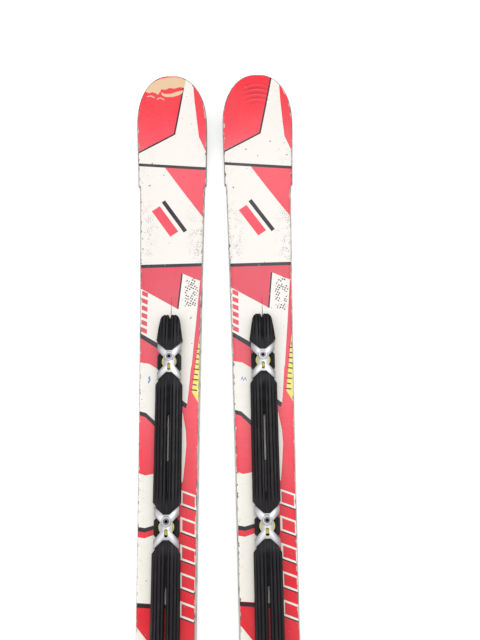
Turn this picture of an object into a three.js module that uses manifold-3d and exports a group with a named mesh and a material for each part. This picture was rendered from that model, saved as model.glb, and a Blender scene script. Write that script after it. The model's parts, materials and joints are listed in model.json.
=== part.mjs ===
// A pair of alpine giant-slalom race skis: laminated skis with full-length steel edges,
// binding plates, and floating decks that slide a little on the ski as it flexes.
// Millimetres. Each ski is built with its tip at y = 0, x across and y = -distance from the tip.
import * as THREE from 'three';
import { mergeVertices } from 'three/addons/utils/BufferGeometryUtils.js';
import Module from 'manifold-3d';

const wasm = await Module();
wasm.setup();

// Overall
const skiLength = 1880;
const skiSpacing = 115; // centre line to centre line of the pair as it lies
const hands = { left: -1, right: 1 };

// Plan outline, as distances from the tip and full widths
const waistAt = 1010;
const waistWidth = 65;
const shovelAt = 115; // where the front sidecut curve would be widest
const shovelFlare = 24; // how much wider than the waist it is there
const tailFlare = 15;
const tipInsertLength = 139;
const tipWidth = 94;
const tipRearWidth = 91;
const noseLength = 60; // rounded end of the tip
const nosePower = 2.3;
const noseFlat = 9; // half width of the blunt front end
const tailProtectorLength = 18;

// Side profile
const frontContactAt = 185;
const tailRiseLength = 68;
const tipRise = 50;
const tipRisePower = 2.2;
const tailRise = 8;
const camberHeight = 5;

// Laminate
const baseHeight = 1.4;
const titanalHeight = 0.6;
const topsheetHeight = 0.8;
const tipCoreHeight = 2;
const waistCoreHeight = 12.5;
const tailCoreHeight = 3;
const thickFrom = 850;
const thickTo = 1150;
const edgeWidth = 2;
const edgeFlange = 4;
const flangeBite = 1; // how far the flange and the edge body share metal
const sidewallWidth = 8;
const sidewallLean = 1.5;
const topsheetInset = 0.2; // from the upper titanal's rim
const tipRim = 1; // bare rim of the tip insert round the topsheet

// Binding plates
const toePlateFrom = 742;
const toePlateTo = 912;
const heelPlateFrom = 1075;
const heelPlateTo = 1265;
const plateWidth = 60;
const plateHeight = 12;

// Floating decks, brackets and dampers
const seatGap = 0.3;
const deckLift = 0.5; // clears the slight crown of the ski under a straight deck
const deckHeight = 10.4;
const deckHalfWidth = 16.2;
const deckTravel = 3;
const travelClearance = 0.5; // left at the end of the travel
const frontDeckFrom = 325;
const frontBracketAt = 387;
const bracketSpacing = 197.5;
const rearBracketAt = 1455;
const rearDeckTo = 1520;
const plateClearance = 2;
const noseDeckHalfWidth = 15.5;
const noseDeckFlat = 9;
const noseDeckCorner = 12;
const noseNotch = 3; // half width of the notch in the free end
const noseNotchDepth = 6;
const noseTaper = 26;
const slitHalfWidth = 1.1;
const slitFrontMargin = 50; // from the tip end of a deck length to its slit
const slitRearMargin = 25;
const neckHalfWidth = 3.5;
const taperKnee = 12; // half width where the neck taper turns to the shoulder
const taperKneeReach = 8.4;
const shoulderReach = 14;
const ledgeHalfWidth = 14.8;
const bracketHalfWidth = 14.5;
const bracketHalfLength = 24;
const bracketArmEnd = 14.2; // where the arm's outer edge turns in to the waist
const bracketWaist = 7;
const bracketWaistReach = 6;
const bracketHeight = 3.5;
const bossDiameter = 10.5;
const bossHeight = 0.5;
const screwReach = 6.3; // from the bracket's centre to the screw
const screwDiameter = 5;
const screwHeadOverhang = 0.75; // all round the shank
const screwHeadHeight = 1.9;
const screwSocketDiameter = 3.9;
const screwSocketDepth = 1.2;
const slotReach = 6.5;
const slotLength = 9.4;
const slotWidth = 4.3;
const housingHalfWidth = 14.5;
const housingHalfLength = 11;
const housingChamfer = 3;
const housingFloor = 1.5;
const puckDiameter = 18;
const puckOffset = 0.6;
const puckHeight = 3.7;
const tongueHeight = 2.4;

// Sides of the faceted rounds
const roundSides = 24;
const boreSides = 16;
const socketSides = 6;
const mergeDistance = 1e-5;

// Heights of the stack over the ski, worked out from the pieces
const tongueLow = housingFloor + seatGap;
const tongueTop = tongueLow + tongueHeight;
const puckLow = tongueTop + seatGap;
const puckTop = puckLow + puckHeight;
const bracketLow = puckTop + seatGap;
const bracketTop = bracketLow + bracketHeight;
const ledgeTop = puckTop;
const neckReach = housingHalfLength + deckTravel + travelClearance;
const rearContactAt = skiLength - tailRiseLength;
const tailProtectorAt = skiLength - tailProtectorLength;
const rockerSpan = rearContactAt - frontContactAt;
const secondBracketAt = frontBracketAt + bracketSpacing;
const puckRadius = puckDiameter / 2;
const screwHoleRadius = screwDiameter / 2 + seatGap;
const screwHeadRadius = screwDiameter / 2 + screwHeadOverhang;

// Every layer shares these cross-sections, so that their faces meet exactly.
const spans = 16;
const tipStations = [0, 2.5, 7, 14, 24, 38, noseLength, 80, 102, 122];
const stations = [...tipStations, tipInsertLength - 1, tipInsertLength];
stations.push((tipInsertLength + frontContactAt) / 2, frontContactAt);
for (let i = 1; i <= spans; i++) stations.push(frontContactAt + (rockerSpan * i) / spans);
stations.push((rearContactAt + tailProtectorAt) / 2, tailProtectorAt, skiLength);

const materials = {
  base: { color: 0x17171a, roughness: 0.45, metalness: 0 },
  steel: { color: 0xb9bbbd, roughness: 0.35, metalness: 1 },
  titanal: { color: 0xc3c5c6, roughness: 0.4, metalness: 1 },
  wood: { color: 0xc9a06c, roughness: 0.7, metalness: 0 },
  sidewall: { color: 0x2a2a2c, roughness: 0.5, metalness: 0 },
  topsheet: { color: 0xe0293a, roughness: 0.25, metalness: 0 },
  plastic: { color: 0x242226, roughness: 0.5, metalness: 0 },
  silver: { color: 0xdcdadd, roughness: 0.35, metalness: 1 },
  elastomer: { color: 0xf0e070, roughness: 0.6, metalness: 0 },
};
for (const key of Object.keys(materials)) materials[key] = new THREE.MeshStandardMaterial(materials[key]);

function smooth(x) {
  const u = THREE.MathUtils.clamp(x, 0, 1);
  return u * u * (3 - 2 * u);
}

// Half width of the ski's outline
function outline(t) {
  if (t < tipInsertLength) {
    const round = Math.pow(1 - Math.pow(1 - Math.min(t / noseLength, 1), nosePower), 1 / nosePower);
    const narrowing = smooth((t - noseLength) / (tipInsertLength - noseLength));
    const width = tipWidth + (tipRearWidth - tipWidth) * narrowing;
    return Math.max((width / 2) * round, noseFlat);
  }
  if (t < waistAt) {
    return (waistWidth + shovelFlare * Math.pow((waistAt - t) / (waistAt - shovelAt), 2)) / 2;
  }
  return (waistWidth + tailFlare * Math.pow((t - waistAt) / (rearContactAt - waistAt), 2)) / 2;
}

// Height of the running surface: tip rise, camber and tail rise
function rocker(t) {
  if (t < frontContactAt) return tipRise * Math.pow((frontContactAt - t) / frontContactAt, tipRisePower);
  if (t > rearContactAt) return tailRise * Math.pow((t - rearContactAt) / tailRiseLength, 2);
  const u = (t - frontContactAt) / rockerSpan;
  return 16 * camberHeight * u * u * (1 - u) * (1 - u);
}

function coreHeight(t) {
  const front = tipCoreHeight + (waistCoreHeight - tipCoreHeight) * smooth(t / thickFrom);
  const thinning = smooth((t - thickTo) / (skiLength - thickTo));
  return front + (tailCoreHeight - waistCoreHeight) * thinning;
}

// Levels through the laminate, from 0 under the base to 5 on the topsheet
function level(t, index) {
  const heights = [0, baseHeight, titanalHeight, coreHeight(t), titanalHeight, topsheetHeight];
  return heights.slice(0, index + 1).reduce((sum, height) => sum + height, rocker(t));
}

// Top of the ski between the shared cross-sections
function surface(t) {
  const next = Math.max(1, stations.findIndex((station) => station >= t));
  const [a, b] = [stations[next - 1], stations[next]];
  return THREE.MathUtils.lerp(level(a, 5), level(b, 5), (t - a) / (b - a));
}

// A layer that follows the ski: xAt(t, side, up) gives its flank, heightAt(t, up) its faces
function strip(from, to, xAt, heightAt) {
  const rows = [from, ...stations.filter((t) => t > from && t < to), to];
  const last = rows.length - 1;
  const geometry = new THREE.BoxGeometry(1, 1, 1, 1, last, 1);
  const points = geometry.attributes.position;
  for (let i = 0; i < points.count; i++) {
    const t = rows[Math.round((0.5 - points.getY(i)) * last)];
    const up = points.getZ(i) > 0;
    points.setXYZ(i, xAt(t, Math.sign(points.getX(i)), up), -t, heightAt(t, up));
  }
  return geometry;
}

function layer(from, to, halfWidth, lower, upper) {
  return strip(from, to, (t, side) => side * halfWidth(t), (t, up) => level(t, up ? upper : lower));
}

// A layer down one flank, between two distances in from the outline
function flank(hand, outer, inner, lower, upper, lean = 0) {
  const xAt = (t, side, up) => {
    const inset = side === hand ? outer + (up ? lean : 0) : inner;
    return hand * (outline(t) - inset);
  };
  return strip(tipInsertLength, tailProtectorAt, xAt, (t, up) => level(t, up ? upper : lower));
}

function solid(geometry) {
  const bare = geometry.clone();
  bare.deleteAttribute('normal');
  bare.deleteAttribute('uv');
  const merged = mergeVertices(bare, mergeDistance);
  const vertProperties = new Float32Array(merged.attributes.position.array);
  const triVerts = new Uint32Array(merged.index.array);
  return new wasm.Manifold(new wasm.Mesh({ numProp: 3, vertProperties, triVerts }));
}

function skin(body) {
  const { vertProperties, triVerts } = body.getMesh();
  const geometry = new THREE.BufferGeometry();
  geometry.setAttribute('position', new THREE.BufferAttribute(vertProperties, 3));
  geometry.setIndex(new THREE.BufferAttribute(triVerts, 1));
  geometry.computeVertexNormals();
  return geometry;
}

function prism(points, low, high, holes = []) {
  const shape = new THREE.Shape(points.map(([x, y]) => new THREE.Vector2(x, y)));
  shape.holes = holes;
  const options = { depth: high - low, bevelEnabled: false, curveSegments: 6 };
  return solid(new THREE.ExtrudeGeometry(shape, options).translate(0, 0, low));
}

function block(x0, x1, y0, y1, low, high) {
  return prism([[x0, y0], [x1, y0], [x1, y1], [x0, y1]], low, high);
}

function disc(radius, y, low, high, sides = roundSides) {
  const geometry = new THREE.CylinderGeometry(radius, radius, high - low, sides);
  return solid(geometry.rotateX(Math.PI / 2).translate(0, y, (low + high) / 2));
}

function mesh(name, geometry, material) {
  const piece = new THREE.Mesh(geometry, materials[material]);
  piece.name = name;
  return piece;
}

// A frame that lies on the ski at one place, pitched as the top is over its length
function seat(at, halfSpan) {
  const group = new THREE.Group();
  const drop = surface(at + halfSpan) - surface(at - halfSpan);
  group.position.set(0, -at, (surface(at + halfSpan) + surface(at - halfSpan)) / 2);
  group.rotation.x = -Math.atan2(drop, 2 * halfSpan);
  return group;
}

// The laminated ski itself
function laminate(side) {
  const full = (t) => outline(t);
  const inset = (distance) => (t) => outline(t) - distance;
  const baseHalf = (t) => (t < tipInsertLength ? outline(t) : outline(t) - edgeWidth);
  const topInset = sidewallLean + topsheetInset;
  const topHalf = (t) => outline(t) - (t < tipInsertLength ? tipRim : topInset);
  const metalHalf = inset(edgeWidth + edgeFlange);
  const body = [tipInsertLength, tailProtectorAt];
  const pieces = [
    mesh(`${side}_base`, layer(0, tailProtectorAt, baseHalf, 0, 1), 'base'),
    mesh(`${side}_lower_titanal`, layer(...body, metalHalf, 1, 2), 'titanal'),
    mesh(`${side}_core`, layer(...body, inset(sidewallWidth), 2, 3), 'wood'),
    mesh(`${side}_upper_titanal`, layer(...body, inset(sidewallLean), 3, 4), 'titanal'),
    mesh(`${side}_topsheet`, layer(0, tailProtectorAt, topHalf, 4, 5), 'topsheet'),
    mesh(`${side}_tip_insert`, layer(0, tipInsertLength, full, 1, 4), 'plastic'),
    mesh(`${side}_tail_protector`, layer(tailProtectorAt, skiLength, full, 0, 5), 'plastic'),
  ];
  for (const [name, hand] of Object.entries(hands)) {
    const bar = solid(flank(hand, 0, edgeWidth, 0, 2));
    const flange = solid(flank(hand, edgeWidth - flangeBite, edgeWidth + edgeFlange, 1, 2));
    pieces.push(
      mesh(`${side}_edge_${name}`, skin(bar.add(flange)), 'steel'),
      mesh(`${side}_sidewall_${name}`, flank(hand, 0, sidewallWidth, 2, 3, sidewallLean), 'sidewall'),
    );
  }
  return pieces;
}

// A binding plate: its foot follows the ski and its top is level
function plate(name, from, to) {
  const top = Math.max(surface(from), surface(to)) + seatGap + plateHeight;
  const heightAt = (t, up) => (up ? top : surface(t) + seatGap);
  return mesh(name, strip(from, to, (t, hand) => (hand * plateWidth) / 2, heightAt), 'plastic');
}

// Half outline of one end of a deck, as [distance from that end, half width]
const deckEnds = {
  neck: () => [[0, neckHalfWidth], [taperKneeReach, taperKnee], [shoulderReach, deckHalfWidth]],
  square: () => [[0, deckHalfWidth]],
  free: () => [
    [0, noseNotch],
    [0, noseDeckFlat],
    [noseNotchDepth, noseDeckCorner],
    [noseNotchDepth + noseTaper, noseDeckHalfWidth],
  ],
};

// One length of deck in its seat's frame, from y = -half to y = half, its head towards the tip
function deck(half, head, foot, tongueAt, screwAt) {
  const headPoints = deckEnds[head]().map(([reach, x]) => [x, half - reach]);
  const footPoints = deckEnds[foot]().map(([reach, x]) => [x, reach - half]).reverse();
  const right = [...headPoints, ...footPoints];
  const left = right.map(([x, y]) => [-x, y]).reverse();
  const ring = [...right, ...left];
  if (head === 'free') ring.push([0, half - noseNotchDepth]);
  if (foot === 'free') ring.splice(right.length, 0, [0, noseNotchDepth - half]);
  const holes = [];
  const [slitFoot, slitHead] = [slitRearMargin - half, half - slitFrontMargin];
  if (slitHead - slitFoot > slitRearMargin) {
    const corners = [[-1, slitFoot], [1, slitFoot], [1, slitHead], [-1, slitHead]];
    holes.push(new THREE.Path(corners.map(([way, y]) => new THREE.Vector2(way * slitHalfWidth, y))));
  }
  let body = prism(ring.reverse(), deckLift, deckHeight, holes);
  // Low ledges carry the bracket's arms beside each neck.
  for (const [end, way] of [[head, 1], [foot, -1]]) {
    if (end !== 'neck') continue;
    const reach = way * tongueAt > 0 ? half + deckTravel : half;
    const ys = [way * (half - shoulderReach), way * reach].sort((a, b) => a - b);
    body = body.add(block(-ledgeHalfWidth, ledgeHalfWidth, ...ys, deckLift, ledgeTop));
  }
  if (tongueAt !== 0) {
    // The tongue runs into the housing, where the screw holds it.
    const way = Math.sign(tongueAt);
    const ys = [way * (half - shoulderReach), screwAt + way * (screwHoleRadius + seatGap)];
    ys.sort((a, b) => a - b);
    const halfWidth = puckRadius - 2 * seatGap;
    body = body.add(block(-halfWidth, halfWidth, ...ys, tongueLow, tongueTop));
    body = body.subtract(disc(screwHoleRadius, screwAt, 0, bracketTop));
  }
  return skin(body);
}

// Housing, damper puck, bracket and screw, in the seat's frame with the screw on the +y side
function housing() {
  const [w, l, c] = [housingHalfWidth, housingHalfLength, housingChamfer];
  const corners = [
    [w, l - c], [w - c, l], [c - w, l], [-w, l - c],
    [-w, c - l], [c - w, -l], [w - c, -l], [w, c - l],
  ];
  const channel = puckRadius + seatGap;
  const room = block(-channel, channel, -2 * l, 2 * l, housingFloor, 2 * bracketTop);
  return skin(prism(corners, 0, puckTop).subtract(room));
}

function puck() {
  const notchRound = disc(screwHoleRadius, screwReach, 0, bracketTop);
  const notch = block(-screwHoleRadius, screwHoleRadius, screwReach, 2 * puckDiameter, 0, bracketTop);
  return skin(disc(puckRadius, puckOffset, puckLow, puckTop).subtract(notchRound.add(notch)));
}

function bracket() {
  const arm = [[bracketWaist, bracketWaistReach], [bracketHalfWidth, bracketArmEnd],
    [bracketHalfWidth, bracketHalfLength], [neckHalfWidth, neckReach - 2 * seatGap]];
  const upper = [...arm, ...arm.map(([x, y]) => [-x, y]).reverse()];
  const ring = [...upper, ...upper.map(([x, y]) => [x, -y]).reverse()];
  const slot = new THREE.Path();
  const slotHalf = (slotLength - slotWidth) / 2;
  slot.absarc(0, slotHalf - slotReach, slotWidth / 2, 0, Math.PI);
  slot.absarc(0, -slotHalf - slotReach, slotWidth / 2, Math.PI, 2 * Math.PI);
  const headLow = bracketTop + bossHeight - screwHeadHeight - seatGap;
  return skin(prism(ring, bracketLow, bracketTop, [slot])
    .add(disc(bossDiameter / 2, screwReach, bracketLow, bracketTop + bossHeight))
    .subtract(disc(screwHoleRadius, screwReach, 0, 2 * bracketTop, boreSides))
    .subtract(disc(screwHeadRadius + seatGap, screwReach, headLow, 2 * bracketTop, boreSides)));
}

function screw() {
  const headTop = bracketTop + bossHeight;
  const headLow = headTop - screwHeadHeight;
  const socketFloor = headTop - screwSocketDepth;
  const shank = disc(screwDiameter / 2, screwReach, tongueLow, socketFloor, boreSides);
  const head = disc(screwHeadRadius, screwReach, headLow, headTop, boreSides);
  const socket = disc(screwSocketDiameter / 2, screwReach, socketFloor, 2 * headTop, socketSides);
  return skin(shank.add(head).subtract(socket));
}

function bracketSet(side, place, at, facing) {
  const lying = seat(at, bracketHalfLength);
  const turned = new THREE.Group();
  turned.rotation.z = facing > 0 ? 0 : Math.PI;
  turned.position.z = seatGap;
  turned.add(
    mesh(`${side}_${place}_housing`, housing(), 'plastic'),
    mesh(`${side}_${place}_puck`, puck(), 'elastomer'),
    mesh(`${side}_${place}_x_bracket`, bracket(), 'silver'),
    mesh(`${side}_${place}_bracket_screw`, screw(), 'steel'),
  );
  return lying.add(turned);
}

// A deck length lying on the ski; `screwed` is where the bracket it carries has its screw
function deckLength(name, from, to, head, foot, screwed = null) {
  const half = (to - from) / 2;
  const middle = (from + to) / 2;
  const lying = seat(middle, half);
  lying.position.z += seatGap;
  const screwAt = screwed === null ? 0 : middle - screwed;
  return lying.add(mesh(name, deck(half, head, foot, Math.sign(screwAt), screwAt), 'plastic'));
}

function ski(side) {
  const group = new THREE.Group();
  group.position.set((hands[side] * skiSpacing) / 2, skiLength / 2, 0);
  const toeEnd = toePlateFrom - plateClearance;
  const heelEnd = heelPlateTo + plateClearance;
  group.add(
    ...laminate(side),
    plate(`${side}_toe_plate`, toePlateFrom, toePlateTo),
    plate(`${side}_heel_plate`, heelPlateFrom, heelPlateTo),
    bracketSet(side, 'first', frontBracketAt, 1),
    bracketSet(side, 'second', secondBracketAt, 1),
    bracketSet(side, 'rear', rearBracketAt, -1),
    deckLength(`${side}_front_deck_nose`, frontDeckFrom, frontBracketAt - neckReach,
      'free', 'neck', frontBracketAt - screwReach),
    deckLength(`${side}_front_deck_mid`, frontBracketAt + neckReach, secondBracketAt - neckReach,
      'neck', 'neck', secondBracketAt - screwReach),
    deckLength(`${side}_front_deck_root`, secondBracketAt + neckReach, toeEnd, 'neck', 'square'),
    deckLength(`${side}_rear_deck_root`, heelEnd, rearBracketAt - neckReach, 'square', 'neck'),
    deckLength(`${side}_rear_deck_tail`, rearBracketAt + neckReach, rearDeckTo,
      'neck', 'free', rearBracketAt + screwReach),
  );
  return group;
}

const pair = new THREE.Group();
for (const side of Object.keys(hands)) pair.add(ski(side));

export default pair;
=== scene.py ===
import json
import math

import bmesh
import bpy
from mathutils import Matrix, Vector

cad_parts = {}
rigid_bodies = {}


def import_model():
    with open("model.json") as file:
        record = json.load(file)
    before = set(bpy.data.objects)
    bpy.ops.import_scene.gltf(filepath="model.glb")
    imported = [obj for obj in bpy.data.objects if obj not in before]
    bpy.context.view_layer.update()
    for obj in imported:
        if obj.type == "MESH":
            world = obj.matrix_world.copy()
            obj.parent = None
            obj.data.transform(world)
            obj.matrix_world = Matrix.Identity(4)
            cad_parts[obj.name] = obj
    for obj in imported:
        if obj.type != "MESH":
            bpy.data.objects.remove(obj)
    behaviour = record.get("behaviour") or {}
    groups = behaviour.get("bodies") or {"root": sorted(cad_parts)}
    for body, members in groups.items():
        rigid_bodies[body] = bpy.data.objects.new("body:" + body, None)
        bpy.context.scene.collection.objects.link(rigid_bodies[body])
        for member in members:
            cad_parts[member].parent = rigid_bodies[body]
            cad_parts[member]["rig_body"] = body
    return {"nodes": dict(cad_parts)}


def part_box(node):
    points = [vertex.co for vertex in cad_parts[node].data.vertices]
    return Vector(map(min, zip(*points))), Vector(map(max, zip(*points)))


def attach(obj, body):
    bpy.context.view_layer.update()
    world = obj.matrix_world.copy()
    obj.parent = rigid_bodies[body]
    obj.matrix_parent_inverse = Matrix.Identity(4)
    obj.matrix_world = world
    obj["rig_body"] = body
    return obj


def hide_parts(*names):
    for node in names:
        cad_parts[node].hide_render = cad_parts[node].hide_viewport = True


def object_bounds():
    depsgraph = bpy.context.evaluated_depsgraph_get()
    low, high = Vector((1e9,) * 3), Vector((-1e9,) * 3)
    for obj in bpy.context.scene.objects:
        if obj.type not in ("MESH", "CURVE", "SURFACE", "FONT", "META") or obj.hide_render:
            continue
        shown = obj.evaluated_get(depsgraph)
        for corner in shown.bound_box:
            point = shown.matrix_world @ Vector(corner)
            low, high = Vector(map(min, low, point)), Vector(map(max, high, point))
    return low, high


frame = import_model()
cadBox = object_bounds()
print("frame loaded")

mm = 0.001
sides = ("left", "right")

# The camera looks down on the front halves of both skis, a little towards the tips.
shot = {
    "lens": 45.3,  # for a sensor 36 mm long
    "distance": 1012,
    "tiltDeg": 18.8,
    "rollDeg": -0.87,
    "aimFromTip": 331,
    "sideways": 30,
    "height": 10,
}


def makeCamera():
    data = bpy.data.cameras.new("camera")
    data.lens = shot["lens"]
    data.sensor_width = 36
    camera = bpy.data.objects.new("camera", data)
    bpy.context.collection.objects.link(camera)
    tilt, away = math.radians(shot["tiltDeg"]), shot["distance"] * mm
    aim = Vector((shot["sideways"] * mm, cadBox[1].y - shot["aimFromTip"] * mm, shot["height"] * mm))
    camera.location = aim + Vector((0, -math.sin(tilt), math.cos(tilt))) * away
    camera.rotation_euler = (tilt, 0, 0)
    camera.rotation_euler.rotate_axis("Z", math.radians(shot["rollDeg"]))
    bpy.context.scene.camera = camera


makeCamera()
print("camera placed")


def linear(code):
    # an sRGB hex value as the linear colour that sockets take
    parts = [int(code[i : i + 2], 16) / 255 for i in (1, 3, 5)]
    return tuple(p / 12.92 if p <= 0.04045 else ((p + 0.055) / 1.055) ** 2.4 for p in parts) + (1.0,)


def pick(sockets, name=None):
    # a node hides the sockets of its other data types, which share their names
    return [s for s in sockets if s.enabled and name in (None, s.name)][0]


def addNode(tree, kind, inputs=None, output=None, **settings):
    # sets or links the node's inputs and returns the output that is named, or else its first
    node = tree.nodes.new("ShaderNode" + kind)
    for key, value in settings.items():
        setattr(node, key, value)
    for key, value in (inputs or {}).items():
        socket = node.inputs[key] if isinstance(key, int) else pick(node.inputs, key)
        if isinstance(value, bpy.types.NodeSocket):
            tree.links.new(value, socket)
        else:
            socket.default_value = value
    return pick(node.outputs, output)


def newMaterial(name, colour, roughness, **sockets):
    # returns the material's node tree, its shader and the coordinates its patterns start from
    material = bpy.data.materials.new(name)
    material.use_nodes = True
    tree = material.node_tree
    shader = tree.nodes["Principled BSDF"]
    shader.inputs["Base Color"].default_value = linear(colour)
    shader.inputs["Roughness"].default_value = roughness
    for key, value in sockets.items():
        shader.inputs[key.replace("_", " ")].default_value = value
    return material, tree, shader, addNode(tree, "TexCoord", output="Object")


def perMm(size):
    # the scale that gives a pattern a period of this many millimetres
    return 1 / (size * mm)


def hairlines(tree, at, size, along, detail=2):
    # lines of a real width in millimetres, drawn out lengthwise
    drawn = addNode(tree, "Mapping", {"Vector": at, "Scale": (1, along, 1)})
    return addNode(tree, "TexNoise", {"Vector": drawn, "Scale": perMm(size), "Detail": detail})


def patches(tree, at, size, low, high, span=(0, 1), detail=2):
    # uneven patches of a real size in millimetres, from span's first value to its second
    cloud = addNode(tree, "TexNoise", {"Vector": at, "Scale": perMm(size), "Detail": detail})
    ends = {"From Min": low, "From Max": high, "To Min": span[0], "To Max": span[1]}
    return addNode(tree, "MapRange", {"Value": cloud, **ends})


def layColours(tree, colour, *layers):
    # each layer's tone covers the ones below it by its own amount
    for amount, tone in layers:
        colour, tone = (linear(c) if isinstance(c, str) else c for c in (colour, tone))
        colour = addNode(tree, "Mix", {"Factor": amount, "A": colour, "B": tone}, data_type="RGBA")
    return colour


def finishShader(tree, shader, colour, roughness=None, relief=None):
    # links the shader's colour, its roughness and a relief of (height, depth in millimetres, strength)
    ends = {"Base Color": colour, "Roughness": roughness}
    if relief:
        height, depth, strength = relief
        bump = {"Height": height, "Distance": depth * mm, "Strength": strength}
        ends["Normal"] = addNode(tree, "Bump", bump)
    for name, value in ends.items():
        if value is not None:
            tree.links.new(value, shader.inputs[name])


def smoothStep(u):
    u = min(max(u, 0.0), 1.0)
    return u * u * (3 - 2 * u)


# Every piece is modelled in millimetres, its y towards the tip, and put in place at the end.
def layGrid(rows, columns, place):
    bm = bmesh.new()
    bmesh.ops.create_grid(bm, x_segments=columns, y_segments=len(rows) - 1, size=1)
    for v in bm.verts:
        column = round((v.co.x + 1) / 2 * columns)
        row = round((1 - v.co.y) / 2 * (len(rows) - 1))
        v.co = Vector(place(rows[row], column))
    return bm


def closeBelow(bm, under):
    # turns a skin into a solid; under(x, y) gives the place below each of its corners
    made = bmesh.ops.extrude_face_region(bm, geom=bm.faces[:])["geom"]
    for v in made:
        if isinstance(v, bmesh.types.BMVert):
            v.co = Vector(under(v.co.x, v.co.y))
    bmesh.ops.remove_doubles(bm, verts=bm.verts[:], dist=0.001)
    bmesh.ops.recalc_face_normals(bm, faces=bm.faces[:])


def cutDown(bm, start, end):
    # one straight cut from above, through the faces that lie under the line
    lowX, highX = sorted((start[0], end[0]))
    lowY, highY = sorted((start[1], end[1]))
    touched = []
    for face in bm.faces:
        xs = [v.co.x for v in face.verts]
        if max(xs) < lowX or min(xs) > highX:
            continue
        ys = [v.co.y for v in face.verts]
        if max(ys) >= lowY and min(ys) <= highY:
            touched.append(face)
    parts = {*touched, *(e for f in touched for e in f.edges), *(v for f in touched for v in f.verts)}
    across = Vector((end[1] - start[1], start[0] - end[0], 0)).normalized()
    bmesh.ops.bisect_plane(bm, geom=list(parts), dist=0.01, plane_co=(*start, 0), plane_no=across)


def cutOutline(bm, outline):
    for start, end in zip(outline, [*outline[1:], outline[0]]):
        cutDown(bm, start, end)


def holds(outline, x, y):
    inside = False
    for (ax, ay), (bx, by) in zip(outline, [*outline[1:], outline[0]]):
        if (ay > y) != (by > y) and x < (bx - ax) * (y - ay) / (by - ay) + ax:
            inside = not inside
    return inside


def trim(bm, outline, keepInside=True):
    cutOutline(bm, outline)
    gone = [f for f in bm.faces if holds(outline, *f.calc_center_median().xy) != keepInside]
    bmesh.ops.delete(bm, geom=gone, context="FACES")


def circle(x, y, radius, corners):
    turns = [2 * math.pi * i / corners for i in range(corners)]
    return [(x + radius * math.cos(a), y + radius * math.sin(a)) for a in turns]


def addRing(bm, radius, z, y=0, sixSided=False):
    # a loop of edges to be bridged with others, round or as a hexagon
    made = bmesh.ops.create_circle(bm, segments=36, radius=1)["verts"]
    for v in made:
        a = math.atan2(v.co.y, v.co.x)
        reach = radius / math.cos(a % (math.pi / 3) - math.pi / 6) if sixSided else radius
        v.co = Vector((reach * math.cos(a), y + reach * math.sin(a), z))
    return list({e for v in made for e in v.link_edges})


def breakEdges(bm, edges, size, segments=2):
    bmesh.ops.bevel(
        bm, geom=edges, offset=size, segments=segments,
        affect="EDGES", profile=0.5, material=-1, clamp_overlap=True,
    )


def roundRim(bm, size, segments=2):
    # softens the edges where a top face meets a wall, told apart by how far their normals point up
    leastTop, mostWall = 0.6, 0.25
    rim = []
    for edge in bm.edges:
        if len(edge.link_faces) == 2:
            wall, top = sorted(f.normal.z for f in edge.link_faces)
            if top > leastTop and abs(wall) < mostWall:
                rim.append(edge)
    breakEdges(bm, rim, size, segments)


def makePiece(bm, name, node, material, place, smoothDeg=32):
    # the last step of each piece: its place, its shading, and the body it moves with
    bm.transform(place)
    limit = math.radians(smoothDeg)
    for face in bm.faces:
        face.smooth = True
    for edge in bm.edges:
        edge.smooth = len(edge.link_faces) == 2 and edge.calc_face_angle(0) < limit
    mesh = bpy.data.meshes.new(name)
    bm.to_mesh(mesh)
    bm.free()
    mesh.materials.append(material)
    piece = bpy.data.objects.new(name, mesh)
    bpy.context.collection.objects.link(piece)
    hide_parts(node)
    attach(piece, frame["nodes"][node]["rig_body"])
    return piece


# The ski's own lines, in millimetres from the tip; the frame's length sets where the tail comes.
ski = {
    "waistAt": 1010, "waistWidth": 65, "shovelAt": 115, "shovelFlare": 24, "tailFlare": 15,
    "tipInsert": 139, "tipWidth": 94, "tipRearWidth": 91, "noseLength": 60, "nosePower": 2.3, "noseFlat": 5,
    "frontContact": 185, "tailRiseLength": 68, "tipRise": 50, "tipRisePower": 2.2, "tailRise": 8, "camber": 5,
    "base": 1.4, "titanal": 0.6, "topsheet": 0.8, "tipCore": 2, "waistCore": 12.5, "tailCore": 3,
    "thickFrom": 850, "thickTo": 1150, "edgeWidth": 2, "sidewallWidth": 8, "sidewallLean": 1.5,
    "topsheetInset": 1.7, "tipRim": 1, "protector": 18,
}
skiLength = (cadBox[1].y - cadBox[0].y) / mm
rearContact = skiLength - ski["tailRiseLength"]
protectorAt = skiLength - ski["protector"]


def outline(t):
    # half the ski's width
    if t < ski["tipInsert"]:
        nose = (1 - (1 - min(t / ski["noseLength"], 1)) ** ski["nosePower"]) ** (1 / ski["nosePower"])
        narrowing = smoothStep((t - ski["noseLength"]) / (ski["tipInsert"] - ski["noseLength"]))
        width = ski["tipWidth"] + (ski["tipRearWidth"] - ski["tipWidth"]) * narrowing
        return max(width / 2 * nose, ski["noseFlat"])
    if t < ski["waistAt"]:
        u = (ski["waistAt"] - t) / (ski["waistAt"] - ski["shovelAt"])
        return (ski["waistWidth"] + ski["shovelFlare"] * u * u) / 2
    u = (t - ski["waistAt"]) / (rearContact - ski["waistAt"])
    return (ski["waistWidth"] + ski["tailFlare"] * u * u) / 2


def rocker(t):
    if t < ski["frontContact"]:
        return ski["tipRise"] * ((ski["frontContact"] - t) / ski["frontContact"]) ** ski["tipRisePower"]
    if t > rearContact:
        return ski["tailRise"] * ((t - rearContact) / ski["tailRiseLength"]) ** 2
    u = (t - ski["frontContact"]) / (rearContact - ski["frontContact"])
    return 16 * ski["camber"] * u * u * (1 - u) * (1 - u)


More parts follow.
